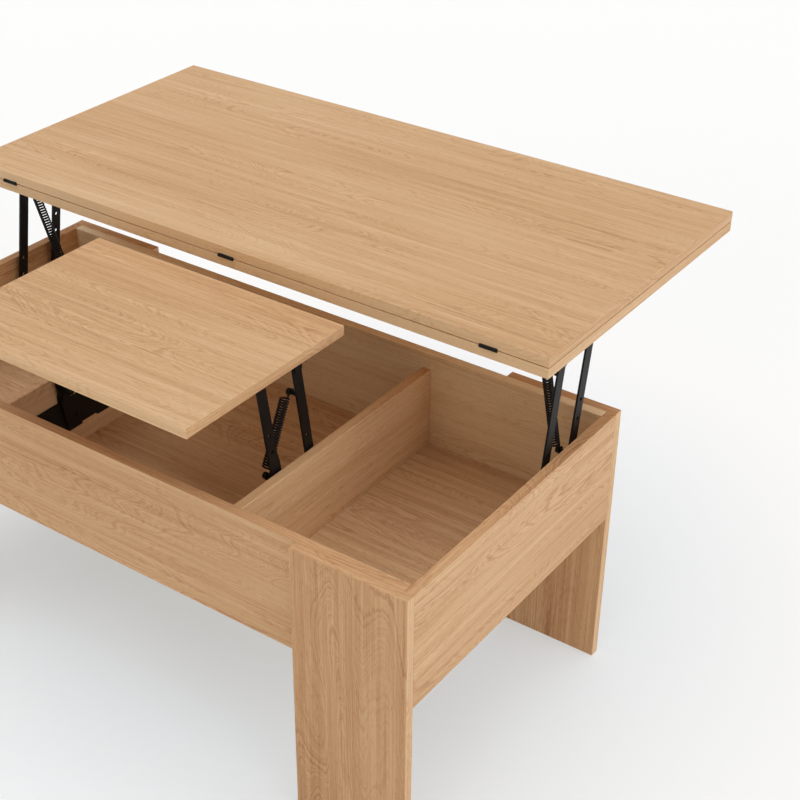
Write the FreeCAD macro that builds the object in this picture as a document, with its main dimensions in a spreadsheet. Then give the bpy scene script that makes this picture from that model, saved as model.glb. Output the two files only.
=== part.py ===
# Convertible coffee and dining table: a board box on four board legs, a folding double top on a
# pair of spring-assisted parallel-arm lifts, and a small centre lid on a pair of its own.
# The pieces stand as they do with both lifts raised and the upper leaf folded on the lower one.
import FreeCAD, Part

import math
import os

import Sketcher
from FreeCAD import Placement, Rotation, Vector

# Driving dimensions: millimetres, and degrees for the leans
DIMENSIONS = {
    # Box and legs
    "body_length": 1100.0,
    "body_depth": 546.0,
    "rim_height": 462.0,
    "box_height": 188.0,
    "board": 16.0,
    "leg_thickness": 16.0,
    "leg_width": 187.0,
    "floor_rise": 10.0,
    "divider_span": 472.0,
    "divider_drop": 26.0,
    "edge_round": 1.0,
    # Folding top
    "top_past_ends": 0.0,
    "top_past_sides": 2.0,
    "leaf_thickness": 16.0,
    "leaf_seam": 1.0,
    "top_raised": 163.0,
    "top_rest_gap": 0.5,
    # Centre lid
    "lid_past_dividers": 1.0,
    "lid_depth": 330.0,
    "lid_thickness": 16.0,
    "lid_raised": 164.0,
    "lid_rest_gap": 0.5,
    "lid_back_gap": 5.0,
    # Arms of the two pairs of lifts
    "top_arm": 297.5,
    "top_lean_angle": 10.0,
    "top_tail": 6.0,
    "top_pivot_inset": 85.0,
    "top_stop_at": 30.0,
    "lid_arm": 190.0,
    "lid_lean_angle": 9.0,
    "lid_tail": 54.0,
    "lid_pivot_inset": 129.0,
    "lid_stop_at": -50.0,
    "trail_tail": 1.0,
    "arm_width": 18.0,
    "arm_thickness": 3.0,
    "heel_width": 2.6,
    "heel_reach": 46.0,
    "heel_taper": 20.0,
    "arm_hole": 3.1,
    "hole_step": 30.0,
    "top_lead_hole": 166.0,
    "top_trail_hole": 124.0,
    "lid_lead_hole": 71.0,
    "lid_trail_hole": 38.0,
    # Pivots between arms, base plates and brackets
    "pivot_spacing": 78.0,
    "pivot_stagger": 9.0,
    "pivot_drop": 12.0,
    "pivot_radius": 4.0,
    "pivot_clearance": 0.05,
    "collar_radius": 7.0,
    "collar_thickness": 1.0,
    "top_spacer": 6.0,
    "lid_spacer": 1.0,
    "head_radius": 6.5,
    "head_thickness": 2.0,
    "axial_play": 0.1,
    "stop_radius": 4.0,
    "stop_gap": 0.3,
    # Base plates on the panels, brackets under the boards
    "plate_thickness": 3.0,
    "plate_corner": 4.0,
    "plate_step": 4.0,
    "plate_step_from": 34.0,
    "plate_step_length": 34.0,
    "ear_radius": 10.0,
    "ear_root": 22.0,
    "top_plate_end": 44.0,
    "top_plate_low": -16.0,
    "top_plate_high": 50.0,
    "lid_plate_end": 58.0,
    "lid_plate_low": -68.0,
    "lid_plate_high": -10.0,
    "bracket_thickness": 2.5,
    "bracket_end": 26.0,
    "bracket_lip": 6.0,
    "bracket_web": 11.0,
    "bracket_ear": 7.2,
    "bracket_flange": 30.0,
    # Countersunk wood screws
    "screw_head_radius": 4.0,
    "screw_head_depth": 2.0,
    "screw_radius": 1.9,
    "screw_reach": 11.0,
    "screw_inset": 11.0,
    "screw_clearance": 0.05,
    # Spring posts and tension springs
    "top_post_high": 276.0,
    "top_post_low": 109.0,
    "lid_post_high": 139.0,
    "lid_post_low": 18.0,
    "post_radius": 3.0,
    "post_length": 17.0,
    "post_foot_radius": 4.8,
    "post_foot_thickness": 1.0,
    "knob_radius": 5.4,
    "knob_thickness": 5.0,
    "knob_round": 2.0,
    "spring_radius": 5.6,
    "spring_wire": 2.6,
    "spring_curl_count": 25.0,
    "spring_stand": 15.2,
    "spring_bend": 2.5,
    "spring_leg": 8.0,
    "hook_clearance": 0.3,
    # Knuckle hinges let into the front edges of the two leaves
    "hinge_length": 28.0,
    "hinge_from_end": 93.0,
    "hinge_plate": 2.0,
    "hinge_plate_depth": 24.0,
    "hinge_screw_back": 15.0,
    "hinge_screw_spread": 8.0,
    "hinge_screw_reach": 9.0,
    "hinge_set": 0.5,
    "knuckle_radius": 2.75,
    "knuckle_gap": 0.4,
    "knuckle_clearance": 0.3,
    "hinge_pin_radius": 1.0,
    "mortise_clearance": 0.2,
}

doc = FreeCAD.newDocument("ConvertibleTable")
sheet = doc.addObject("Spreadsheet::Sheet", "Sizes")
for row, (name, number) in enumerate(DIMENSIONS.items(), start=1):
    sheet.set(f"A{row}", name)
    sheet.set(f"B{row}", str(number))
    sheet.setAlias(f"B{row}", name)
doc.recompute()


class Size:
    """A size that knows its value and the expression that gives it from the sheet."""

    def __init__(self, value, text):
        self.value = value
        self.text = text

    def joined(self, other, sign, result):
        return Size(result, f"({self.text} {sign} {other.text})")

    def __add__(self, other):
        other = as_size(other)
        return self.joined(other, "+", self.value + other.value)

    def __sub__(self, other):
        other = as_size(other)
        return self.joined(other, "-", self.value - other.value)

    def __mul__(self, other):
        other = as_size(other)
        return self.joined(other, "*", self.value * other.value)

    def __truediv__(self, other):
        other = as_size(other)
        return self.joined(other, "/", self.value / other.value)

    def __neg__(self):
        return Size(-self.value, f"(0 - {self.text})")

    def __float__(self):
        return self.value


def as_size(number):
    if isinstance(number, Size):
        return number
    return Size(float(number), repr(float(number)))


def dim(name):
    """The named driving dimension, as the sheet holds it."""
    return Size(float(sheet.get(name)), f"Sizes.{name}")


def vec(x, y, z):
    return Vector(float(x), float(y), float(z))


def bind(feature, **sizes):
    """Tie the feature's properties to the sheet."""
    for prop, size in sizes.items():
        feature.setExpression(prop, as_size(size).text)


AXIS_X = Vector(1, 0, 0)
AXIS_Z = Vector(0, 0, 1)
NODES = []


def named(feature, label):
    """Give a finished piece the name of its node."""
    feature.Label = label
    NODES.append(feature)
    return feature


def new_body(name):
    return doc.addObject("PartDesign::Body", name)


def primitive(body, kind, at=Vector(), turn=Rotation(), **sizes):
    """Add or cut a box, cylinder or cone whose sizes are tied to the sheet."""
    feature = body.newObject(f"PartDesign::{kind}", f"{body.Name}_{kind}")
    bind(feature, **sizes)
    feature.Placement = Placement(at, turn)
    doc.recompute()
    return feature


def along(direction):
    """The turn that points an upright cylinder along a direction."""
    return Rotation(AXIS_Z, direction)


def fillet(body, radius, wanted):
    """Round the edges of the body's last feature that the test picks."""
    base = body.Tip
    picked = [f"Edge{i}" for i, edge in enumerate(base.Shape.Edges, start=1) if wanted(edge)]
    rounding = body.newObject("PartDesign::Fillet", f"{body.Name}_Rounding")
    rounding.Base = (base, picked)
    bind(rounding, Radius=radius)
    doc.recompute()
    return rounding


def sketch_on(body, role):
    """A sketch on one of the body's own origin planes."""
    plane = [f for f in body.Origin.OriginFeatures if f.Role == role][0]
    sketch = body.newObject("Sketcher::SketchObject", f"{body.Name}_Sketch")
    sketch.AttachmentSupport = (plane, [""])
    sketch.MapMode = "FlatFace"
    return sketch


def tie(sketch, kind, geometry, point, size):
    """Hold a point of the sketch at a distance from the sketch's origin."""
    index = sketch.addConstraint(Sketcher.Constraint(kind, -1, 1, geometry, point, float(size)))
    sketch.setExpression(f"Constraints[{index}]", as_size(size).text)


def polygon(sketch, corners):
    """A closed outline whose corners are tied to the sheet."""
    points = [vec(y, z, 0) for y, z in corners]
    for i, point in enumerate(points):
        sketch.addGeometry(Part.LineSegment(point, points[(i + 1) % len(points)]))
    for i in range(len(points)):
        following = (i + 1) % len(points)
        sketch.addConstraint(Sketcher.Constraint("Coincident", i, 2, following, 1))
    for i, (y, z) in enumerate(corners):
        tie(sketch, "DistanceX", i, 1, y)
        tie(sketch, "DistanceY", i, 1, z)


def stadium(sketch, middle, low, high, radius):
    """An upright outline with half-round ends, centred on the given offset."""
    x, z0, z1, r = float(middle), float(low), float(high), float(radius)
    flat = Vector(0, 0, 1)
    sketch.addGeometry(Part.ArcOfCircle(Part.Circle(Vector(x, z1, 0), flat, r), 0, math.pi))
    sketch.addGeometry(Part.LineSegment(Vector(x - r, z1, 0), Vector(x - r, z0, 0)))
    sketch.addGeometry(Part.ArcOfCircle(Part.Circle(Vector(x, z0, 0), flat, r), math.pi, 2 * math.pi))
    sketch.addGeometry(Part.LineSegment(Vector(x + r, z0, 0), Vector(x + r, z1, 0)))
    for first, second in ((0, 1), (1, 2), (2, 3), (3, 0)):
        sketch.addConstraint(Sketcher.Constraint("Tangent", first, 2, second, 1))
    index = sketch.addConstraint(Sketcher.Constraint("Radius", 0, r))
    sketch.setExpression(f"Constraints[{index}]", as_size(radius).text)
    tie(sketch, "DistanceX", 0, 3, middle)
    tie(sketch, "DistanceY", 0, 3, high)
    tie(sketch, "DistanceY", 2, 3, low)


def pad(body, sketch, thickness, inward):
    """Thicken an outline drawn across the table towards the inward side."""
    doc.recompute()
    feature = body.newObject("PartDesign::Pad", f"{body.Name}_Pad")
    feature.Profile = sketch
    feature.Reversed = inward < 0
    bind(feature, Length=thickness)
    doc.recompute()
    return feature


# Levels and faces of the box
board = dim("board")
half_length = dim("body_length") / 2
half_depth = dim("body_depth") / 2
rim = dim("rim_height")
box_bottom = rim - dim("box_height")
apron_face = half_depth - dim("leg_thickness")
inner_depth = apron_face - board
inner_length = half_length - board
floor_top = box_bottom + dim("floor_rise") + board
divider_top = rim - dim("divider_drop")
divider_outer = dim("divider_span") / 2
divider_inner = divider_outer - board
top_under = rim + dim("top_raised")
lid_under = divider_top + dim("lid_raised")
top_length = dim("body_length") + dim("top_past_ends") * 2
top_depth = dim("body_depth") + dim("top_past_sides") * 2
lid_length = dim("divider_span") + dim("lid_past_dividers") * 2


def swing(arm, lean, rise):
    """How far the arms carry a board across, and through what angle, from raised to shut."""
    shut_lean = math.acos(math.cos(lean) - rise / arm)
    travel = arm * (math.sin(lean) + math.sin(shut_lean))
    return travel, math.degrees(lean + shut_lean)


top_travel, top_swing = swing(
    float(dim("top_arm")),
    math.radians(float(dim("top_lean_angle"))),
    float(dim("top_raised") - dim("top_rest_gap")),
)
lid_travel, lid_swing = swing(
    float(dim("lid_arm")),
    math.radians(float(dim("lid_lean_angle"))),
    float(dim("lid_raised") - dim("lid_rest_gap")),
)

# Raised places of the boards, from the middle of the body: shut, the top covers the body and the
# lid ends just short of the back panel
top_front = top_travel - float(top_depth) / 2
top_back = top_front + float(top_depth)
lid_back = float(inner_depth - dim("lid_back_gap")) - lid_travel
lid_front = lid_back - float(dim("lid_depth"))

# The origin lies on the floor under the middle of the raised table's whole depth
front_most = min(lid_front, -float(half_depth))
back_most = max(top_back, float(half_depth))
body_middle = -(front_most + back_most) / 2


def panel(label, length, depth, thickness, corner):
    """A board with softened edges, placed by its lowest front left corner."""
    body = new_body(label)
    primitive(body, "AdditiveBox", Length=length, Width=depth, Height=thickness)
    fillet(body, dim("edge_round"), lambda edge: True)
    x, y, z = corner
    body.Placement = Placement(vec(x, y + body_middle, z), Rotation())
    return named(body, label)


def drill(body, point, direction, depth):
    """Bore a screw's hole into a board, from a point on its face."""
    primitive(
        body,
        "SubtractiveCylinder",
        point - body.Placement.Base,
        along(direction),
        Radius=dim("screw_radius") + dim("screw_clearance"),
        Height=depth,
    )


def cut_pocket(body, corner, length, depth, height):
    """Cut a square pocket into a board, from its lowest front left corner."""
    primitive(
        body,
        "SubtractiveBox",
        corner - body.Placement.Base,
        Length=length,
        Width=depth,
        Height=height,
    )


# Box and legs
inner_span = inner_length * 2
panel("apron_front", inner_span, board, dim("box_height"), (-inner_length, -apron_face, box_bottom))
panel("back_panel", inner_span, board, dim("box_height"), (-inner_length, inner_depth, box_bottom))
panel("floor_panel", inner_span, inner_depth * 2, board, (-inner_length, -inner_depth, floor_top - board))
FACES = {}
for side, sign in (("left", -1), ("right", 1)):
    outer = -half_length if sign < 0 else inner_length
    FACES["top", side] = panel(
        f"end_panel_{side}", board, apron_face * 2, dim("box_height"), (outer, -apron_face, box_bottom)
    )
    outer = -divider_outer if sign < 0 else divider_inner
    FACES["lid", side] = panel(
        f"divider_{side}", board, inner_depth * 2, divider_top - floor_top, (outer, -inner_depth, floor_top)
    )
    outer = -half_length if sign < 0 else half_length - dim("leg_width")
    for end, face in (("front", -half_depth), ("back", apron_face)):
        panel(f"leg_{end}_{side}", dim("leg_width"), dim("leg_thickness"), rim, (outer, face, 0))

# Boards that move
lower_leaf = panel(
    "top_lower_leaf",
    top_length,
    top_depth,
    dim("leaf_thickness"),
    (-top_length / 2, top_front, top_under),
)
upper_leaf = panel(
    "top_upper_leaf",
    top_length,
    top_depth,
    dim("leaf_thickness"),
    (-top_length / 2, top_front, top_under + dim("leaf_thickness") + dim("leaf_seam")),
)
lid = panel(
    "centre_lid",
    lid_length,
    dim("lid_depth"),
    dim("lid_thickness"),
    (-lid_length / 2, lid_front, lid_under),
)
BOARDS = {"top": lower_leaf, "lid": lid}


def turned(name, steps, rounding=None):
    """A turned pin: a stack of cylinders along its axis, with a softened end."""
    body = new_body(name)
    level = as_size(0)
    for radius, length in steps:
        primitive(body, "AdditiveCylinder", vec(0, 0, level), Radius=radius, Height=length)
        level = level + length
    if rounding is not None:
        end = float(level)
        fillet(body, rounding, lambda edge: abs(edge.BoundBox.ZMin - end) < 1e-6)
    return body


# Fasteners and pins that repeat
arm_slot = dim("arm_thickness") + dim("axial_play") * 2


def shouldered_pin(name, collar):
    """A pivot whose collar holds the arm off its plate and whose head keeps the arm on."""
    steps = [
        (dim("collar_radius"), collar),
        (dim("pivot_radius"), arm_slot),
        (dim("head_radius"), dim("head_thickness")),
    ]
    return turned(name, steps, dim("head_thickness") / 2)


bracket_pin = shouldered_pin("bracket_pin", dim("collar_thickness"))
BASE_PINS, STOP_PINS = {}, {}
for kind in ("top", "lid"):
    spacer = dim(f"{kind}_spacer")
    BASE_PINS[kind] = shouldered_pin(f"{kind}_base_pin", spacer)
    STOP_PINS[kind] = turned(f"{kind}_stop_pin", [(dim("stop_radius"), spacer + arm_slot)], dim("edge_round"))
spring_post = turned(
    "spring_post",
    [
        (dim("post_foot_radius"), dim("post_foot_thickness")),
        (dim("post_radius"), dim("post_length") - dim("post_foot_thickness")),
        (dim("knob_radius"), dim("knob_thickness")),
    ],
    dim("knob_round"),
)


def wood_screw(name, reach):
    """A countersunk screw that points along its axis from the face of its head."""
    body = new_body(name)
    primitive(
        body,
        "AdditiveCone",
        Radius1=dim("screw_head_radius"),
        Radius2=dim("screw_radius"),
        Height=dim("screw_head_depth"),
    )
    start = vec(0, 0, dim("screw_head_depth"))
    primitive(body, "AdditiveCylinder", start, Radius=dim("screw_radius"), Height=reach)
    return body


long_screw = wood_screw("long_screw", dim("screw_reach"))
short_screw = wood_screw("short_screw", dim("hinge_screw_reach"))


def sink_hole(body, at, direction, thickness):
    """A countersunk hole through a steel plate, from the face that the screw's head lies in."""
    room = dim("screw_clearance")
    primitive(
        body,
        "SubtractiveCylinder",
        at,
        along(direction),
        Radius=dim("screw_radius") + room,
        Height=thickness,
    )
    primitive(
        body,
        "SubtractiveCone",
        at,
        along(direction),
        Radius1=dim("screw_head_radius") + room,
        Radius2=dim("screw_radius") + room,
        Height=dim("screw_head_depth") + room,
    )


def group(label, source, places):
    """One node of like pieces, each standing at its own place."""
    copies = []
    for place in places:
        copy = doc.addObject("App::Link", f"{label}_copy")
        copy.LinkedObject = source
        copy.Placement = place
        copies.append(copy)
    node = doc.addObject("Part::Compound", label)
    node.Links = copies
    doc.recompute()
    return named(node, label)


# Lifts: each stands at its leading arm's lower pivot, with the shutting direction along its own Y
spacing = dim("pivot_spacing")
stagger = dim("pivot_stagger")
pin_layer = dim("plate_thickness")


class Lift:
    """One parallel-arm lift: where it stands and which way it faces."""

    def __init__(self, kind, side):
        right = side == "right"
        self.kind = kind
        self.side = side
        self.arm = dim(f"{kind}_arm")
        self.lean = dim(f"{kind}_lean_angle")
        lean = math.radians(float(self.lean))
        self.reach = Vector(0, -math.sin(lean), math.cos(lean))
        self.square = Vector(0, math.cos(lean), math.sin(lean))
        under, face = (top_under, inner_length) if kind == "top" else (lid_under, divider_inner)
        height = float(under - dim("pivot_drop")) - float(self.arm) * self.reach.z
        if kind == "top":
            stand, turn = inner_depth - dim("top_pivot_inset"), Rotation(AXIS_Z, 180)
        else:
            stand, turn = dim("lid_pivot_inset") - inner_depth, Rotation()
        self.inward = 1 if right == (kind == "top") else -1

        # Layers in from the panel: the arms, the posts on them, and the bracket beside them
        self.arm_layer = pin_layer + dim(f"{kind}_spacer") + dim("axial_play")
        self.post_layer = self.arm_layer + dim("arm_thickness")
        self.hang_layer = self.arm_layer - dim("axial_play") - dim("collar_thickness")
        self.bracket_layer = self.hang_layer - dim("bracket_thickness")
        foot = vec(face if right else -face, stand + body_middle, height)
        self.place = Placement(foot, turn)
        self.trail = vec(0, spacing, -stagger)

    def at(self, point, layer, turn=Rotation()):
        """The place of a piece on this lift, so far in from the panel's face."""
        offset = Vector(self.inward * float(layer), 0, 0)
        return self.place.multiply(Placement(point + offset, turn))

    def inwards(self):
        """The turn that points a pin from the panel into the box."""
        return along(Vector(self.inward, 0, 0))

    def name(self, piece):
        return f"{self.kind}_{piece}_{self.side}"


def plate_corners(kind):
    """Where a base plate's four screws lie, in the lift's own frame."""
    end, low, high = [dim(f"{kind}_plate_{part}") for part in ("end", "low", "high")]
    inset = dim("screw_inset")
    for across in (-end + inset, spacing + end - inset):
        for up in (low + inset, high - inset):
            yield vec(0, across, up)


def base_plate(lift):
    """Pressed plate on the panel, with a step cut in its lower edge and ears where it needs them."""
    body = new_body(lift.name("lift_base"))
    end, low, high = [dim(f"{lift.kind}_plate_{part}") for part in ("end", "low", "high")]
    step = low + dim("plate_step")
    step_from = dim("plate_step_from")
    step_to = step_from + dim("plate_step_length")
    outline = [
        (-end, low),
        (step_from, low),
        (step_from, step),
        (step_to, step),
        (step_to, low),
        (spacing + end, low),
        (spacing + end, high),
        (-end, high),
    ]
    sketch = sketch_on(body, "YZ_Plane")
    polygon(sketch, outline)
    pad(body, sketch, dim("plate_thickness"), lift.inward)
    far = float(spacing + end)
    near = -float(end)
    corners = (near, far)

    def at_corner(edge):
        box = edge.BoundBox
        upright = box.YLength < 1e-6 and box.ZLength < 1e-6
        return upright and min(abs(box.YMin - corner) for corner in corners) < 1e-6

    fillet(body, dim("plate_corner"), at_corner)
    if float(high) < float(dim("ear_radius")):
        for across, up in ((as_size(0), as_size(0)), (spacing, -stagger)):
            sketch = sketch_on(body, "YZ_Plane")
            stadium(sketch, across, up - dim("ear_root"), up, dim("ear_radius"))
            pad(body, sketch, dim("plate_thickness"), lift.inward)
    face = Vector(lift.inward * float(dim("plate_thickness")), 0, 0)
    for corner in plate_corners(lift.kind):
        sink_hole(body, corner + face, Vector(-lift.inward, 0, 0), dim("plate_thickness"))
    body.Placement = lift.at(Vector(), 0)
    named(body, body.Name)


def arm(lift, piece, pivot, tail, first_hole, post, heeled):
    """Flat steel arm with round ends, bored for its two pivots and punched with spare holes."""
    body = new_body(lift.name(piece))
    sketch = sketch_on(body, "YZ_Plane")
    stadium(sketch, as_size(0), -tail, lift.arm, dim("arm_width") / 2)
    pad(body, sketch, dim("arm_thickness"), lift.inward)
    if heeled:
        side = dim("arm_width") / 2
        sketch = sketch_on(body, "YZ_Plane")
        outline = [
            (as_size(0), -tail),
            (side + dim("heel_width"), -tail + dim("heel_width")),
            (side + dim("heel_width"), dim("heel_reach")),
            (side, dim("heel_reach") + dim("heel_taper")),
            (as_size(0), dim("heel_reach") + dim("heel_taper")),
        ]
        polygon(sketch, outline)
        pad(body, sketch, dim("arm_thickness"), lift.inward)
    bore = dim("pivot_radius") + dim("pivot_clearance")
    spare = dim("arm_hole")
    holes = [(as_size(0), bore), (lift.arm, bore)]
    holes += [(first_hole, spare), (first_hole + dim("hole_step"), spare)]
    for height, radius in holes:
        primitive(
            body,
            "SubtractiveCylinder",
            vec(0, 0, height),
            lift.inwards(),
            Radius=radius,
            Height=dim("arm_thickness"),
        )
    body.Placement = lift.at(pivot, lift.arm_layer, Rotation(AXIS_X, float(lift.lean)))
    named(body, body.Name)
    return pivot + lift.reach * float(post)


def bracket_holes():
    """Where a bracket's three screws lie, from its leading pivot."""
    across = dim("bracket_flange") - dim("screw_inset")
    from_end = dim("bracket_end") - dim("screw_inset")
    for place in (-from_end, spacing / 2, spacing + from_end):
        yield across, place


def bracket(lift):
    """Angle bracket under the board: a low web, an ear for each upper pivot, and a flat flange."""
    body = new_body(lift.name("bracket"))
    end, drop, ear = dim("bracket_end"), dim("pivot_drop"), dim("bracket_ear")
    lip, web, gauge = dim("bracket_lip"), dim("bracket_web"), dim("bracket_thickness")
    outline = [
        (-end, drop),
        (-end, drop - lip),
        (as_size(0), drop - web),
        (spacing, drop - web),
        (spacing + end, drop - lip),
        (spacing + end, drop),
    ]
    sketch = sketch_on(body, "YZ_Plane")
    polygon(sketch, outline)
    pad(body, sketch, gauge, lift.inward)
    for across, up in ((as_size(0), as_size(0)), (spacing, -stagger)):
        sketch = sketch_on(body, "YZ_Plane")
        stadium(sketch, across, up, drop - ear, ear)
        pad(body, sketch, gauge, lift.inward)
    flange = dim("bracket_flange")
    across = as_size(0) if lift.inward > 0 else -flange
    primitive(
        body,
        "AdditiveBox",
        vec(across, -end, drop - gauge),
        Length=flange,
        Width=spacing + end * 2,
        Height=gauge,
    )
    for inset, place in bracket_holes():
        sink_hole(body, vec(inset * lift.inward, place, drop - gauge), AXIS_Z, gauge)
    body.Placement = lift.at(lift.reach * float(lift.arm), lift.bracket_layer)
    named(body, body.Name)


def arc_between(start, turn_point, end):
    """The arc that leaves start and reaches end along the lines through the turning point."""
    middle = (start + end) * 0.5
    out = turn_point - middle
    half_chord = (end - start).Length / 2
    half_turn = math.atan2(out.Length, half_chord)
    crown = middle + out * (half_chord * math.tan(half_turn / 2) / out.Length)
    return Part.Arc(start, crown, end)


def biarc(start, heading, end, final):
    """Two tangent arcs from one point and heading to another."""
    span = end - start
    both = heading + final
    spread = 2 * (1 - heading.dot(final))
    lean = span.dot(both)
    run = (math.sqrt(lean * lean + spread * span.dot(span)) - lean) / spread
    first = start + heading * run
    last = end - final * run
    joint = (first + last) * 0.5
    return [arc_between(start, first, joint), arc_between(joint, last, end)]


def spring(lift, low_post, high_post):
    """A tension spring in one wire: hook, straight leg, curls, straight leg, hook."""
    wire = float(dim("spring_wire"))
    radius = float(dim("spring_radius"))
    bend = float(dim("spring_bend"))
    leg = float(dim("spring_leg"))
    curls = int(float(dim("spring_curl_count")))
    hook = float(dim("post_radius") + dim("hook_clearance")) + wire / 2
    span = (high_post - low_post).Length
    line = (high_post - low_post) * (1 / span)
    out = Vector(-lift.inward, 0, 0)

    # The last curl turns off into the leg by a bend of under a quarter turn, on the panel's side of
    # the coil, and the hooks reach back across the coil's middle from opposite sides
    slope = 0.0
    for _ in range(6):
        turn_off = bend * math.tan((math.pi / 2 - slope) / 2)
        aside = hook - turn_off * math.cos(slope)
        run = math.sqrt(span * span - 4 * aside * aside)
        pitch = (run - 2 * leg - 2 * bend * math.cos(slope)) / curls
        slope = math.atan2(pitch, 2 * math.pi * radius)
    skew = math.atan2(2 * aside, run)
    axis = line * math.cos(skew) + line.cross(out) * (lift.inward * math.sin(skew))
    turn = axis.cross(out) * lift.inward
    heading = turn * math.cos(slope) + axis * math.sin(slope)
    stand = Vector(lift.inward * float(lift.post_layer + dim("spring_stand")), 0, 0)
    base = low_post + stand - out * radius - turn * aside + axis * (leg + bend * math.cos(slope))

    def on_curl(turns):
        angle = 2 * math.pi * turns
        spot = base + (out * math.cos(angle) + turn * math.sin(angle)) * radius + axis * (pitch * turns)
        course = (turn * math.cos(angle) - out * math.sin(angle)) * math.cos(slope)
        return spot, course + axis * math.sin(slope)

    edges = []
    for half in range(2 * curls):
        start, leaving = on_curl(half / 2)
        end, arriving = on_curl((half + 1) / 2)
        edges += biarc(start, leaving, end, arriving)

    # Bends, legs and half-round hooks at both ends, each closed by a straight wire's width
    for spot, sense in ((on_curl(0)[0], -1), (on_curl(curls)[0], 1)):
        corner = spot + heading * (sense * turn_off)
        leg_start = corner + axis * (sense * turn_off)
        leg_end = leg_start + axis * (sense * leg)
        far = leg_end - turn * (sense * 2 * hook)
        crown = leg_end - turn * (sense * hook) + axis * (sense * hook)
        tip = far - axis * (sense * wire)
        end_wire = [
            arc_between(spot, corner, leg_start),
            Part.LineSegment(leg_start, leg_end),
            Part.Arc(leg_end, crown, far),
            Part.LineSegment(far, tip),
        ]
        edges = edges + end_wire if sense > 0 else list(reversed(end_wire)) + edges

    path = Part.Wire(Part.__sortEdges__([edge.toShape() for edge in edges]))
    first = path.OrderedVertexes[0].Point
    course = path.OrderedEdges[0].tangentAt(path.OrderedEdges[0].FirstParameter)
    section = Part.Wire(Part.Circle(first, course, wire / 2).toShape())
    shell = Part.BRepOffsetAPI.MakePipeShell(path)
    shell.add(section)
    shell.build()
    shell.makeSolid()
    node = doc.addObject("Part::Feature", lift.name("spring"))
    node.Shape = shell.shape()
    node.Placement = lift.place

    # Least gap between stretches of the wire that are not neighbours
    dots = path.discretize(Distance=wire)
    apart = int(math.ceil(math.pi * radius / wire))
    gap = min((p - q).Length for i, p in enumerate(dots) for q in dots[i + apart:]) - wire
    print(f"{node.Name}: least gap of the wire to itself {gap:.2f} mm, pitch {pitch:.2f} mm")
    named(node, node.Name)


# The two pairs of lifts
for kind in ("top", "lid"):
    lifts = [Lift(kind, side) for side in ("left", "right")]
    base_pivots, bracket_pivots, stops = [], [], []
    base_screws, bracket_screws = [], []
    lead_posts, trail_posts = [], []
    for lift in lifts:
        base_plate(lift)
        low_post = arm(
            lift,
            "lead_arm",
            Vector(),
            dim(f"{kind}_tail"),
            dim(f"{kind}_lead_hole"),
            dim(f"{kind}_post_low"),
            kind == "lid",
        )
        high_post = arm(
            lift,
            "trail_arm",
            lift.trail,
            dim("trail_tail"),
            dim(f"{kind}_trail_hole"),
            dim(f"{kind}_post_high"),
            False,
        )
        bracket(lift)
        spring(lift, low_post, high_post)

        pin_turn = lift.inwards()
        for pivot in (Vector(), lift.trail):
            base_pivots.append(lift.at(pivot, pin_layer, pin_turn))
            raised = pivot + lift.reach * float(lift.arm)
            bracket_pivots.append(lift.at(raised, lift.hang_layer, pin_turn))
        lead_posts.append(lift.at(low_post, lift.post_layer, pin_turn))
        trail_posts.append(lift.at(high_post, lift.post_layer, pin_turn))

        # The stop stands against the leading arm's edge, on the side that it leans to
        stop_at = float(dim(f"{kind}_stop_at"))
        heel = dim("heel_width") if kind == "lid" else as_size(0)
        clear = float(dim("arm_width") / 2 + heel + dim("stop_radius") + dim("stop_gap"))
        stop = lift.reach * stop_at - lift.square * math.copysign(clear, stop_at)
        stops.append(lift.at(stop, pin_layer, pin_turn))

        # Screws of the base plate into the panel, and of the bracket into the board
        outwards = along(Vector(-lift.inward, 0, 0))
        for corner in plate_corners(kind):
            base_screws.append(lift.at(corner, pin_layer, outwards))
            out = lift.place.Rotation.multVec(Vector(-lift.inward, 0, 0))
            depth = dim("screw_reach") + dim("screw_head_depth") - dim("plate_thickness")
            drill(FACES[kind, lift.side], lift.at(corner, 0).Base, out, depth)
        hang = lift.reach * float(lift.arm)
        for inset, place in bracket_holes():
            head = hang + vec(0, place, dim("pivot_drop") - dim("bracket_thickness"))
            bracket_screws.append(lift.at(head, lift.bracket_layer + inset))
            depth = dim("screw_reach") + dim("screw_head_depth") - dim("bracket_thickness")
            seat = lift.at(head, lift.bracket_layer + inset).Base + vec(0, 0, dim("bracket_thickness"))
            drill(BOARDS[kind], seat, AXIS_Z, depth)
    group(f"{kind}_base_pivots", BASE_PINS[kind], base_pivots)
    group(f"{kind}_bracket_pivots", bracket_pin, bracket_pivots)
    group(f"{kind}_stop_pins", STOP_PINS[kind], stops)
    group(f"{kind}_lead_posts", spring_post, lead_posts)
    group(f"{kind}_trail_posts", spring_post, trail_posts)
    group(f"{kind}_base_screws", long_screw, base_screws)
    group(f"{kind}_bracket_screws", long_screw, bracket_screws)


# Leaf hinges: the axis runs along the seam, just in front of the leaves' front edges
hinge_length = dim("hinge_length")
knuckle = hinge_length / 3
barrel = dim("knuckle_radius")
seam = dim("leaf_seam")
seam_level = top_under + dim("leaf_thickness") + seam / 2
hinge_axis = vec(0, top_front + body_middle - float(dim("hinge_set")), seam_level)
hinge_spread = top_length / 2 - dim("hinge_from_end")
HINGE_PLACES = [-hinge_spread, as_size(0), hinge_spread]
SCREW_PLACES = [-dim("hinge_screw_spread"), dim("hinge_screw_spread")]


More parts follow.
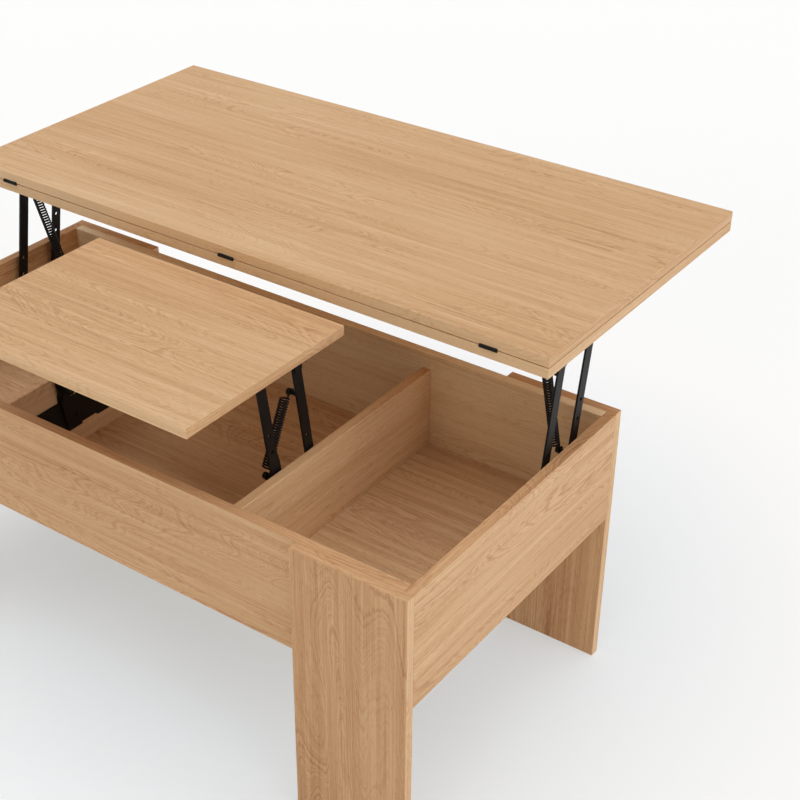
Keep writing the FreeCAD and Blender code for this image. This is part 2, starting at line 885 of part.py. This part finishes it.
def hinge_half(name, upper):
    """Hinge plate with its knuckles: two outer ones below, the middle one above."""
    body = new_body(name)
    low = seam / 2 if upper else -seam / 2 - dim("hinge_plate")
    primitive(
        body,
        "AdditiveBox",
        vec(-hinge_length / 2, 0, low),
        Length=hinge_length,
        Width=dim("hinge_plate_depth"),
        Height=dim("hinge_plate"),
    )
    along_x = along(AXIS_X)
    ends = vec(-hinge_length / 2, 0, 0)
    primitive(body, "AdditiveCylinder", ends, along_x, Radius=barrel, Height=hinge_length)
    room = barrel + dim("knuckle_clearance")
    gap = dim("knuckle_gap")
    if upper:
        width = knuckle + gap / 2
        for start in (-hinge_length / 2, knuckle / 2 - gap / 2):
            primitive(body, "SubtractiveCylinder", vec(start, 0, 0), along_x, Radius=room, Height=width)
    else:
        start = vec(-knuckle / 2 - gap / 2, 0, 0)
        primitive(body, "SubtractiveCylinder", start, along_x, Radius=room, Height=knuckle + gap)
    hole = dim("hinge_pin_radius") + dim("pivot_clearance")
    primitive(body, "SubtractiveCylinder", ends, along_x, Radius=hole, Height=hinge_length)
    face = seam / 2 if upper else -seam / 2
    into = AXIS_Z if upper else -AXIS_Z
    for across in SCREW_PLACES:
        sink_hole(body, vec(across, dim("hinge_screw_back"), face), into, dim("hinge_plate"))
    return body


def at_hinges(offset=Vector(), turn=Rotation()):
    return [Placement(hinge_axis + vec(x, 0, 0) + offset, turn) for x in HINGE_PLACES]


hinge_pin = turned("hinge_pin", [(dim("hinge_pin_radius"), hinge_length)])
group("leaf_hinge_lower_plates", hinge_half("hinge_lower_half", False), at_hinges())
group("leaf_hinge_upper_plates", hinge_half("hinge_upper_half", True), at_hinges())
group("leaf_hinge_pins", hinge_pin, at_hinges(vec(-hinge_length / 2, 0, 0), along(AXIS_X)))

# Mortises for the plates and reliefs for the knuckles, in the facing sides of the leaves
room = dim("mortise_clearance")
relief = barrel + dim("knuckle_clearance")
MORTISES = [
    (dim("hinge_plate_depth") + room, dim("hinge_plate")),
    (relief, relief - seam / 2),
]
for leaf, upper in ((lower_leaf, False), (upper_leaf, True)):
    face = seam / 2 if upper else -seam / 2
    sense = 1 if upper else -1
    screws = []
    for place in HINGE_PLACES:
        middle = hinge_axis + vec(place, 0, 0)
        for depth, height in MORTISES:
            low = face if upper else face - height
            corner = middle + vec(-hinge_length / 2 - room, 0, low)
            cut_pocket(leaf, corner, hinge_length + room * 2, depth, height)
        for across in SCREW_PLACES:
            head = middle + vec(across, dim("hinge_screw_back"), face)
            screws.append(Placement(head, along(AXIS_Z * sense)))
            seat = head + AXIS_Z * (sense * float(dim("hinge_plate")))
            depth = dim("hinge_screw_reach") + dim("screw_head_depth") - dim("hinge_plate")
            drill(leaf, seat, AXIS_Z * sense, depth)
    group(f"leaf_hinge_{'upper' if upper else 'lower'}_screws", short_screw, screws)

doc.recompute()
for feature in doc.Objects:
    faults = [state for state in feature.State if state in ("Invalid", "Error")]
    if faults:
        raise RuntimeError(f"{feature.Label} is {faults}")
for node in NODES:
    if node.Shape.isNull() or not node.Shape.isValid():
        raise RuntimeError(f"{node.Label} has no valid shape")

os.makedirs("parts", exist_ok=True)
for node in NODES:
    node.Shape.exportStep(f"parts/{node.Label}.step")
print(f"{len(NODES)} nodes; top swings {top_swing:.3f} degrees, lid {lid_swing:.3f} degrees")
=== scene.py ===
import math

import bmesh
import bpy
from mathutils import Matrix, Vector


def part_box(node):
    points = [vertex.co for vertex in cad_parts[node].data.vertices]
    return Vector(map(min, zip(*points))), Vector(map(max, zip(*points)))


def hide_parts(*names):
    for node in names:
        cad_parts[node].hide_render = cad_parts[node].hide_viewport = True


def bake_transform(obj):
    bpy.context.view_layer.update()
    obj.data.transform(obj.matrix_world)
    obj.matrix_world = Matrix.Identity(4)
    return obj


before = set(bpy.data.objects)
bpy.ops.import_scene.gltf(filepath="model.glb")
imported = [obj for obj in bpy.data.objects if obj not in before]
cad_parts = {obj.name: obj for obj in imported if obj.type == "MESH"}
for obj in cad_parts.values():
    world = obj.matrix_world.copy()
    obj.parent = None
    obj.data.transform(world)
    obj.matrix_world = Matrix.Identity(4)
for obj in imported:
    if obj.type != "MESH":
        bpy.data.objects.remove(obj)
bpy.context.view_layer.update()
scene = bpy.context.scene
MM = 0.001


def linear(hex_colour):
    """An sRGB hex colour as linear red, green, blue and alpha."""
    parts = [int(hex_colour[i:i + 2], 16) / 255 for i in (1, 3, 5)]
    return [c / 12.92 if c <= 0.04045 else ((c + 0.055) / 1.055) ** 2.4 for c in parts] + [1.0]


def per_mm(length):
    """The texture scale, in cycles per metre, of a feature so many millimetres long."""
    return 1.0 / (length * MM)


def node(tree, kind, links=(), **settings):
    """Adds one node; links gives each socket a value or another node's output."""
    made = tree.nodes.new(kind)
    for name, value in settings.items():
        setattr(made, name, value)
    for socket, source in links:
        if isinstance(source, bpy.types.NodeSocket):
            tree.links.new(source, made.inputs[socket])
        else:
            made.inputs[socket].default_value = source
    return made


def ramp_stops(ramp, stops):
    """Sets a colour ramp's stops from pairs of place and hex colour."""
    elements = ramp.color_ramp.elements
    while len(elements) < len(stops):
        elements.new(0.5)
    for element, (place, colour) in zip(elements, stops):
        element.position = place
        element.color = linear(colour)


def new_material(name):
    """A material with its tree, surface shader and nothing linked yet."""
    material = bpy.data.materials.new(name)
    material.use_nodes = True
    tree = material.node_tree
    return material, tree, tree.nodes["Principled BSDF"]


# Melamine-faced oak board: a print of flat-sawn oak under a matt sealed film. The eye sees fine straight
# streaks, soft bands, growth rings that close into feathered arches, and short pores, with almost no
# relief and a broad dull sheen. Real pores are a third of a millimetre wide, and are drawn coarser to show.
# Each pattern has its length and width in millimetres, its detail and its roughness
OAK_PRINT = {
    "streak": (220.0, 1.9, 2.0, 0.6),
    "band": (460.0, 13.0, 2.0, 0.5),
    "tone": (900.0, 160.0, 1.0, 0.5),
    "figure": (430.0, 62.0, 1.0, 0.4),
    "waver": (24.0, 4.0, 2.0, 0.6),
    "patch": (560.0, 105.0, 1.0, 0.5),
    "pore": (14.0, 1.2, 1.0, 0.5),
}
RINGS, RING_WAVER, RING_TAPER = 84.0, 0.024, 0.5
RING_DETAIL, RING_ROUGHNESS = 2.0, 0.6
STREAKY, BANDED, TONED, POROUS = 0.72, 0.5, 0.35, 0.2
# Where on their patterns the dark rings, the figured patches and the pores begin, and where they are full
LATE_WOOD, PATCHES, PORES = (0.44, 0.70), (0.40, 0.60), (0.60, 0.74)
LEAST_FIGURE = 0.35
# The film: its roughness from pale print to dark, its gloss, and the depth in millimetres of its pores
DARK_PRINT, FILM_ROUGHNESS, FILM_GLOSS = 0.8, (0.5, 0.64), 0.35
PORE_DEPTH, PORE_STRENGTH = 0.1, 0.25
# How squarely a face looks along an axis to count as an end, an edge or the outside
SQUARE_ON = 0.7
OAK_SHADES = [(0.0, "#e3be92"), (0.3, "#d3a87a"), (0.6, "#be8d60"), (1.0, "#956338")]
# The bottom and back of the box are painted paler and yellower: painted light inside the box, to match the
# photograph's tones in this light
PAINTED_LIGHT_SHADES = [(0.0, "#ecd1ab"), (0.3, "#dcb88c"), (0.6, "#c69c72"), (1.0, "#9d7148")]


def oak_board(name, shades, along, across, shift, figured, shade, edge, painted_inside_light=0.0):
    """Oak with its grain along one axis of the board and its face's width along another."""
    material, tree, shader = new_material(name)
    through = 3 - along - across
    where = node(tree, "ShaderNodeTexCoord")
    place = node(tree, "ShaderNodeSeparateXYZ", [(0, where.outputs["Object"])])
    facing = node(tree, "ShaderNodeSeparateXYZ", [(0, where.outputs["Normal"])])
    # The banded ends have grain along the edge, and not across it
    endways = node(tree, "ShaderNodeMath", [(0, facing.outputs[along])], operation="ABSOLUTE")
    at_end = node(
        tree, "ShaderNodeMath", [(0, endways.outputs[0]), (1, SQUARE_ON)], operation="GREATER_THAN"
    )
    # The long edges have a tone of their own, matched to the photograph: partly the edge bands' own tone
    # and partly painted light and shade, on rims and edges that the lamps light more or less than the faces
    edgeways = node(tree, "ShaderNodeMath", [(0, facing.outputs[across])], operation="ABSOLUTE")
    at_edge = node(
        tree, "ShaderNodeMath", [(0, edgeways.outputs[0]), (1, SQUARE_ON)], operation="GREATER_THAN"
    )
    # The inside face may be painted paler than the face on the outside of the box, as painted light inside
    # the box
    at_back = node(
        tree, "ShaderNodeMath", [(0, facing.outputs[through]), (1, SQUARE_ON)], operation="GREATER_THAN"
    )
    run = node(
        tree, "ShaderNodeMix",
        [(0, at_end.outputs[0]), (2, place.outputs[along]), (3, place.outputs[across])],
    )
    face_side = node(tree, "ShaderNodeMath", [(0, place.outputs[across]), (1, place.outputs[through])])
    end_side = node(tree, "ShaderNodeMath", [(0, place.outputs[along]), (1, place.outputs[through])])
    side = node(
        tree, "ShaderNodeMix",
        [(0, at_end.outputs[0]), (2, face_side.outputs[0]), (3, end_side.outputs[0])],
    )
    grain = node(tree, "ShaderNodeCombineXYZ", [(0, run.outputs[0]), (1, side.outputs[0])])
    moved = node(
        tree, "ShaderNodeVectorMath", [(0, grain.outputs[0]), (1, shift)], operation="ADD"
    )

    pattern = {}
    for feature, (length, width, detail, roughness) in OAK_PRINT.items():
        scaled = node(
            tree, "ShaderNodeVectorMath",
            [(0, moved.outputs[0]), (1, (per_mm(length), per_mm(width), 1.0))], operation="MULTIPLY",
        )
        pattern[feature] = node(
            tree, "ShaderNodeTexNoise",
            [("Vector", scaled.outputs[0]), ("Scale", 1.0), ("Detail", detail), ("Roughness", roughness)],
        ).outputs["Fac"]

    # Growth rings: lines of uneven weight on the levels of a slow stretched field, which tapers along the
    # trunk and so opens them into arches, feathered by the pores
    feathered = node(
        tree, "ShaderNodeMath", [(0, pattern["waver"]), (1, RING_WAVER), (2, pattern["figure"])],
        operation="MULTIPLY_ADD",
    )
    level = node(
        tree, "ShaderNodeMath", [(0, run.outputs[0]), (1, RING_TAPER), (2, feathered.outputs[0])],
        operation="MULTIPLY_ADD",
    )
    rings = node(
        tree, "ShaderNodeTexNoise",
        [("W", level.outputs[0]), ("Scale", RINGS), ("Detail", RING_DETAIL), ("Roughness", RING_ROUGHNESS)],
        noise_dimensions="1D",
    )
    late_wood = node(
        tree, "ShaderNodeMapRange",
        [("Value", rings.outputs["Fac"]), ("From Min", LATE_WOOD[0]), ("From Max", LATE_WOOD[1])],
    )
    patch = node(
        tree, "ShaderNodeMapRange",
        [("Value", pattern["patch"]), ("From Min", PATCHES[0]), ("From Max", PATCHES[1]),
         ("To Min", LEAST_FIGURE)],
    )
    arches = node(
        tree, "ShaderNodeMath", [(0, late_wood.outputs[0]), (1, patch.outputs[0])], operation="MULTIPLY"
    )
    pores = node(
        tree, "ShaderNodeMapRange",
        [("Value", pattern["pore"]), ("From Min", PORES[0]), ("From Max", PORES[1])],
    )

    # How dark the print is: streaks, bands and slow tone about the board's shade, which is partly painted
    # shade and light, then arches, pores, the edges' tones, partly painted light and shade, and the outer
    # face's tone against an inside painted paler as painted light
    dark = shade - (STREAKY + BANDED + TONED) / 2
    for layer, weight in (
        (pattern["streak"], STREAKY), (pattern["band"], BANDED), (pattern["tone"], TONED),
        (arches.outputs[0], figured), (pores.outputs[0], POROUS), (at_edge.outputs[0], edge),
        (at_back.outputs[0], painted_inside_light),
    ):
        dark = node(
            tree, "ShaderNodeMath", [(0, layer), (1, weight), (2, dark)], operation="MULTIPLY_ADD"
        ).outputs[0]
    colour = node(tree, "ShaderNodeValToRGB", [(0, dark)])
    ramp_stops(colour, shades)
    tree.links.new(colour.outputs[0], shader.inputs["Base Color"])
    sheen = node(
        tree, "ShaderNodeMapRange",
        [("Value", dark), ("From Min", 0.0), ("From Max", DARK_PRINT), ("To Min", FILM_ROUGHNESS[0]),
         ("To Max", FILM_ROUGHNESS[1])],
    )
    tree.links.new(sheen.outputs[0], shader.inputs["Roughness"])
    relief = node(
        tree, "ShaderNodeBump",
        [("Height", pores.outputs[0]), ("Strength", PORE_STRENGTH), ("Distance", -PORE_DEPTH * MM)],
    )
    tree.links.new(relief.outputs[0], shader.inputs["Normal"])
    shader.inputs["Specular IOR Level"].default_value = FILM_GLOSS
    return material


# Powder-coated steel: a thin satin black polymer coat with the faint ripple that it cures to. The eye sees
# a deep even black with dull grey lights. The ripple's depth is in millimetres
RIPPLE_DEPTH, RIPPLE_STRENGTH, RIPPLE_DETAIL = 0.05, 0.2, 2.0
COAT_GLOSS, COAT_SMOOTHER, COAT_ROUGHER = 0.27, 0.06, 0.08
LOW_RIPPLE, HIGH_RIPPLE = 0.3, 0.7


def powder_coat(name, colour, ripple, roughness):
    """Black coat between two near shades, with a ripple so many millimetres wide."""
    material, tree, shader = new_material(name)
    where = node(tree, "ShaderNodeTexCoord")
    grit = node(
        tree, "ShaderNodeTexNoise",
        [("Vector", where.outputs["Object"]), ("Scale", per_mm(ripple)), ("Detail", RIPPLE_DETAIL)],
    )
    tint = node(tree, "ShaderNodeValToRGB", [(0, grit.outputs["Fac"])])
    ramp_stops(tint, [(LOW_RIPPLE, colour[0]), (HIGH_RIPPLE, colour[1])])
    tree.links.new(tint.outputs[0], shader.inputs["Base Color"])
    dull = node(
        tree, "ShaderNodeMapRange",
        [("Value", grit.outputs["Fac"]), ("To Min", roughness - COAT_SMOOTHER),
         ("To Max", roughness + COAT_ROUGHER)],
    )
    tree.links.new(dull.outputs[0], shader.inputs["Roughness"])
    relief = node(
        tree, "ShaderNodeBump",
        [("Height", grit.outputs["Fac"]), ("Strength", RIPPLE_STRENGTH), ("Distance", RIPPLE_DEPTH * MM)],
    )
    tree.links.new(relief.outputs[0], shader.inputs["Normal"])
    shader.inputs["Specular IOR Level"].default_value = COAT_GLOSS
    return material


black_coat = powder_coat("satin black powder coat", ("#060607", "#0b0b0c"), 1.6, 0.5)
# Drawn spring wire takes the same black a little smoother
black_wire = powder_coat("blackened spring wire", ("#070708", "#0c0c0d"), 1.2, 0.42)

# Boards: the axis of the grain, the axis of the face's width, where the sheet was cut, how strongly its
# arches show, how dark its print is, partly its own tone and partly painted shade and light, and how much
# darker its edges (partly painted light and shade) and outer face are
X, Y, Z = 0, 1, 2
BOARDS = {
    "top_upper_leaf": (X, Y, (0.13, 0.31, 0.0), 0.25, 0.24, -0.25),
    "top_lower_leaf": (X, Y, (2.41, 1.17, 3.1), 0.25, 0.24, -0.25),
    "centre_lid": (X, Y, (5.23, 2.61, 7.7), 0.24, 0.28, -0.17),
    "apron_front": (X, Z, (8.37, 3.43, 1.9), 0.22, 0.32, 0.17),
    # The back panel's inside face is painted paler than its outside: painted light inside the box
    "back_panel": (X, Z, (9.71, 5.29, 4.6), 0.24, 0.05, 0.00, 0.36),
    # The floor panel's dark print is partly painted shade inside the box
    "floor_panel": (X, Y, (11.3, 7.07, 2.2), 0.24, 0.46, 0.00),
    "end_panel_left": (Y, Z, (3.19, 9.13, 5.5), 0.32, 0.28, 0.22),
    "end_panel_right": (Y, Z, (4.87, 6.31, 8.8), 0.32, 0.28, 0.22),
    "divider_left": (Y, Z, (6.53, 4.79, 6.1), 0.28, 0.08, 0.22),
    "divider_right": (Y, Z, (7.91, 8.23, 9.4), 0.28, 0.08, 0.22),
    # The legs' darker print is partly painted shade on faces that the lamps light less
    "leg_front_left": (Z, X, (1.37, 2.93, 2.7), 0.27, 0.45, -0.20),
    "leg_front_right": (Z, X, (2.77, 5.83, 3.8), 0.27, 0.45, -0.20),
    "leg_back_left": (Z, X, (4.13, 1.73, 5.2), 0.27, 0.40, -0.20),
    "leg_back_right": (Z, X, (5.59, 3.97, 6.6), 0.27, 0.40, -0.20),
}
# The boards whose paler, yellower ramp is painted light inside the box
PAINTED_LIGHT_BOARDS = {"back_panel", "floor_panel"}
for board, cut in BOARDS.items():
    shades = PAINTED_LIGHT_SHADES if board in PAINTED_LIGHT_BOARDS else OAK_SHADES
    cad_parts[board].data.materials.clear()
    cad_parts[board].data.materials.append(oak_board(f"oak melamine {board}", shades, *cut))
for name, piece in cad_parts.items():
    if name not in BOARDS:
        piece.data.materials.clear()
        piece.data.materials.append(black_coat)


# Tension springs: one wire with a hook, a leg, the curls, a leg and a hook, all in millimetres
WIRE, COIL_RADIUS, BEND, LEG, CURLS = 2.9, 6.35, 2.5, 8.0, 27
POST_RADIUS, HOOK_CLEARANCE = 3.0, 0.3
HOOK = POST_RADIUS + HOOK_CLEARANCE + WIRE / 2
SIDES, STEPS_PER_CURL, BEND_STEPS, HOOK_STEPS = 10, 24, 6, 12
# The curls' slope and their pitch each depend on the other, and settle in a few rounds
SLOPE_ROUNDS = 6


def ring_on(step):
    """The verts and edges of the wire's newest ring, from an operator's result."""
    return [g for g in step["geom_last"] if isinstance(g, (bmesh.types.BMVert, bmesh.types.BMEdge))]


def straight_on(bm, ring, way):
    """Carries the ring straight on by a vector, in millimetres."""
    grown = bmesh.ops.extrude_edge_only(bm, edges=[g for g in ring if isinstance(g, bmesh.types.BMEdge)])
    fresh = [g for g in grown["geom"] if isinstance(g, (bmesh.types.BMVert, bmesh.types.BMEdge))]
    verts = [g for g in fresh if isinstance(g, bmesh.types.BMVert)]
    bmesh.ops.translate(bm, vec=way, verts=verts)
    inside = set(verts)
    edges = [g for g in fresh if isinstance(g, bmesh.types.BMEdge) and set(g.verts) <= inside]
    return verts + edges


def turn_on(bm, ring, centre, axis, angle, steps, climb=Vector()):
    """Carries the ring round an axis, climbing a little at each step."""
    turned = bmesh.ops.spin(
        bm, geom=ring, cent=centre, axis=axis, dvec=climb, angle=angle, space=Matrix.Identity(4),
        steps=steps, use_merge=False, use_normal_flip=False, use_duplicate=False,
    )
    return ring_on(turned)


def tension_spring(name, low_post, high_post, out, winding):
    """A wound spring between two posts, in millimetres: its legs run down the side that faces out."""
    span = (high_post - low_post).length
    line = (high_post - low_post) / span
    slope = 0.0
    for _ in range(SLOPE_ROUNDS):
        corner = BEND * math.tan((math.pi / 2 - slope) / 2)
        aside = HOOK - corner * math.cos(slope)
        run = math.sqrt(span * span - 4 * aside * aside)
        pitch = (run - 2 * LEG - 2 * BEND * math.cos(slope)) / CURLS
        slope = math.atan2(pitch, 2 * math.pi * COIL_RADIUS)
    skew = math.atan2(2 * aside, run)
    axis = line * math.cos(skew) + line.cross(out) * (winding * math.sin(skew))
    turn = axis.cross(out) * winding
    heading = turn * math.cos(slope) + axis * math.sin(slope)
    square = axis * math.cos(slope) - turn * math.sin(slope)
    base = low_post - out * COIL_RADIUS - turn * aside + axis * (LEG + BEND * math.cos(slope))
    spot = base + out * COIL_RADIUS
    quarter = math.pi / 2 - slope
    leg_end = spot - heading * corner - axis * (corner + LEG)
    tip = leg_end + turn * (2 * HOOK) + axis * WIRE
    hinge = out * winding

    bm = bmesh.new()
    # The wire starts as a ring square to its first run, which goes down towards the lower post
    lie = Matrix.Translation(tip) @ axis.to_track_quat("Z", "Y").to_matrix().to_4x4()
    made = bmesh.ops.create_circle(bm, cap_ends=False, radius=WIRE / 2, segments=SIDES, matrix=lie)
    ring = list(made["verts"]) + list(bm.edges)
    first = [g for g in ring if isinstance(g, bmesh.types.BMEdge)]
    ring = straight_on(bm, ring, -axis * WIRE)
    ring = turn_on(bm, ring, leg_end + turn * HOOK, -hinge, math.pi, HOOK_STEPS)
    ring = straight_on(bm, ring, axis * LEG)
    ring = turn_on(bm, ring, spot - square * BEND, -hinge, quarter, BEND_STEPS)
    ring = turn_on(
        bm, ring, base, axis * winding, 2 * math.pi * CURLS, STEPS_PER_CURL * CURLS,
        axis * (pitch / STEPS_PER_CURL),
    )
    spot = spot + axis * (pitch * CURLS)
    ring = turn_on(bm, ring, spot + square * BEND, hinge, quarter, BEND_STEPS)
    ring = straight_on(bm, ring, axis * LEG)
    leg_end = spot + heading * corner + axis * (corner + LEG)
    ring = turn_on(bm, ring, leg_end - turn * HOOK, hinge, math.pi, HOOK_STEPS)
    ring = straight_on(bm, ring, -axis * WIRE)
    last = [g for g in ring if isinstance(g, bmesh.types.BMEdge)]
    bmesh.ops.contextual_create(bm, geom=first)
    bmesh.ops.contextual_create(bm, geom=last)
    bmesh.ops.recalc_face_normals(bm, faces=bm.faces)
    bmesh.ops.scale(bm, vec=(MM, MM, MM), verts=bm.verts)
    mesh = bpy.data.meshes.new(name)
    bm.to_mesh(mesh)
    bm.free()
    mesh.polygons.foreach_set("use_smooth", [True] * len(mesh.polygons))
    mesh.materials.append(black_wire)
    piece = bpy.data.objects.new(name, mesh)
    scene.collection.objects.link(piece)
    return piece


def post_middle(node_name, out):
    """The middle of the post, of a left and right pair, on the side that faces out."""
    points = [v.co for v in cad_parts[node_name].data.vertices if v.co.dot(out) > 0]
    low = Vector([min(p[i] for p in points) for i in range(3)])
    high = Vector([max(p[i] for p in points) for i in range(3)])
    return (low + high) / 2


for kind in ("top", "lid"):
    for side_name, out in (("left", Vector((-1, 0, 0))), ("right", Vector((1, 0, 0)))):
        spring_node = f"{kind}_spring_{side_name}"
        low_post = post_middle(f"{kind}_lead_posts", out)
        high_post = post_middle(f"{kind}_trail_posts", out)
        rim = max(corner.x * out.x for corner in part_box(spring_node)) - WIRE / 2 * MM
        low_post.x = high_post.x = rim * out.x
        winding = 1 if (side_name == "right") == (kind == "top") else -1
        spring = tension_spring(
            f"{kind}_tension_spring_{side_name}", low_post / MM, high_post / MM, out, winding
        )
        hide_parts(spring_node)
        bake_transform(spring)


# Pale studio: a wide seamless floor and white walls, in metres. The floor lies just below the feet
WALL_AWAY, WALL_HEIGHT, WALL_SIDES, FLOOR_DROP = 14.0, 14.0, 64, 0.0005
# How strongly the floor's paper and the walls glow, and the distances over which the paper changes
PAPER_NEAR, PAPER_FAR, PAPER_FADE = 0.40, 0.43, (0.7, 3.0)
# The painted glow's tint: cool near the table, which takes the oak's warm bounce out of its shadow, and
# warm far off
COOL_NEAR, WARM_FAR, TINT_FADE = "#eaf8ff", "#fffbf3", (0.4, 1.0)
WALL_GLOW, UPPER_GLOW, GLOW_FADE = 0.20, 0.14, (0.3, 0.55)
WALL_SHOWN = 0.985
floor_mesh = bpy.data.meshes.new("studio_floor")
bm = bmesh.new()
bmesh.ops.create_circle(bm, cap_ends=True, radius=WALL_AWAY, segments=WALL_SIDES)
bm.to_mesh(floor_mesh)
bm.free()
floor = bpy.data.objects.new("studio_floor", floor_mesh)
floor.location = (0, 0, -FLOOR_DROP)
scene.collection.objects.link(floor)
# The seamless paper glows with painted light of its own, which keeps the table's shadow pale. Near the
# table the painted glow is cool, which takes the oak's warm bounce out of the shadow
floor_paint, tree, shader = new_material("glowing white studio paper")
shader.inputs["Base Color"].default_value = linear("#c8c8c8")
shader.inputs["Roughness"].default_value = 0.9
shader.inputs["Specular IOR Level"].default_value = 0.1
where = node(tree, "ShaderNodeTexCoord")
away = node(tree, "ShaderNodeVectorMath", [(0, where.outputs["Object"])], operation="LENGTH")
painted_glow = node(
    tree, "ShaderNodeMapRange",
    [("Value", away.outputs["Value"]), ("From Min", PAPER_FADE[0]), ("From Max", PAPER_FADE[1]),
     ("To Min", PAPER_NEAR), ("To Max", PAPER_FAR)],
)
tree.links.new(painted_glow.outputs[0], shader.inputs["Emission Strength"])
cool = node(
    tree, "ShaderNodeMapRange",
    [("Value", away.outputs["Value"]), ("From Min", TINT_FADE[0]), ("From Max", TINT_FADE[1])],
)
glow_tint = node(tree, "ShaderNodeValToRGB", [(0, cool.outputs[0])])
ramp_stops(glow_tint, [(0.0, COOL_NEAR), (1.0, WARM_FAR)])
tree.links.new(glow_tint.outputs[0], shader.inputs["Emission Color"])
# From below the eye sees through the paper, to the table's underside
underside = node(tree, "ShaderNodeNewGeometry")
clear = node(tree, "ShaderNodeBsdfTransparent")
either_side = node(
    tree, "ShaderNodeMixShader",
    [(0, underside.outputs["Backfacing"]), (1, shader.outputs[0]), (2, clear.outputs[0])],
)
tree.links.new(either_side.outputs[0], tree.nodes["Material Output"].inputs["Surface"])
floor_mesh.materials.append(floor_paint)

# A pale wall right round the floor, for the eye alone: it gives no light and stops none
wall_mesh = bpy.data.meshes.new("studio_wall")
bm = bmesh.new()
bmesh.ops.create_circle(bm, radius=WALL_AWAY, segments=WALL_SIDES)
raised = bmesh.ops.extrude_edge_only(bm, edges=bm.edges[:])["geom"]
bmesh.ops.translate(
    bm, vec=(0.0, 0.0, WALL_HEIGHT), verts=[g for g in raised if isinstance(g, bmesh.types.BMVert)]
)
bm.to_mesh(wall_mesh)
bm.free()
wall = bpy.data.objects.new("studio_wall", wall_mesh)
wall.visible_diffuse = wall.visible_glossy = wall.visible_transmission = wall.visible_shadow = False
scene.collection.objects.link(wall)
wall_paint, tree, shader = new_material("pale studio wall")
shader.inputs["Base Color"].default_value = linear("#000000")
shader.inputs["Specular IOR Level"].default_value = 0.0
shader.inputs["Emission Color"].default_value = linear("#ffffff")
shader.inputs["Emission Strength"].default_value = WALL_SHOWN
wall_mesh.materials.append(wall_paint)

# Studio walls, pale low down and dark above
world = bpy.data.worlds.new("studio walls")
scene.world = world
world.use_nodes = True
tree = world.node_tree
where = node(tree, "ShaderNodeTexCoord")
height = node(tree, "ShaderNodeSeparateXYZ", [(0, where.outputs["Generated"])])
glow = node(
    tree, "ShaderNodeMapRange",
    [("Value", height.outputs["Z"]), ("From Min", GLOW_FADE[0]), ("From Max", GLOW_FADE[1]),
     ("To Min", WALL_GLOW), ("To Max", UPPER_GLOW)],
)
tree.nodes["Background"].inputs["Color"].default_value = linear("#ffffff")
tree.links.new(glow.outputs[0], tree.nodes["Background"].inputs["Strength"])

# Broad, even lights: a soft box overhead and fainter ones from low on the right and in front. Each has its
# strength, colour, breadth in degrees and the way that it shines
STUDIO_LIGHTS = {
    "overhead soft box": (2.32, "#f6f9ff", 90.0, (0.05, -0.03, -1.0)),
    "right soft box": (1.13, "#f6f9ff", 50.0, (-0.94, 0.0, -0.35)),
    "front soft box": (0.37, "#fff9e4", 30.0, (0.0, 0.97, -0.24)),
}
for light_name, (energy, colour, breadth, way) in STUDIO_LIGHTS.items():
    lamp = bpy.data.lights.new(light_name, "SUN")
    lamp.energy = energy
    lamp.color = linear(colour)[:3]
    lamp.angle = math.radians(breadth)
    soft_box = bpy.data.objects.new(light_name, lamp)
    soft_box.rotation_euler = Vector(way).to_track_quat("-Z", "Y").to_euler()
    scene.collection.objects.link(soft_box)

# The photograph's camera, for a square picture: lens and film in millimetres, place in metres, and how far
# it looks down and turns, in degrees
LENS, FILM, SHIFT, FAR_CLIP = 69.68, 36.0, (0.0315, 0.0493), 60.0
CAMERA_PLACE, LOOKS_DOWN, TURNED = (1.3826, -1.6301, 1.6685), 33.303, 35.953
camera_data = bpy.data.cameras.new("camera")
camera_data.sensor_width = FILM
camera_data.lens = LENS
camera_data.shift_x, camera_data.shift_y = SHIFT
camera_data.clip_end = FAR_CLIP
camera = bpy.data.objects.new("camera", camera_data)
camera.location = CAMERA_PLACE
camera.rotation_euler = (math.radians(90.0 - LOOKS_DOWN), 0.0, math.radians(TURNED))
scene.collection.objects.link(camera)
scene.camera = camera
scene.view_settings.view_transform = "Standard"
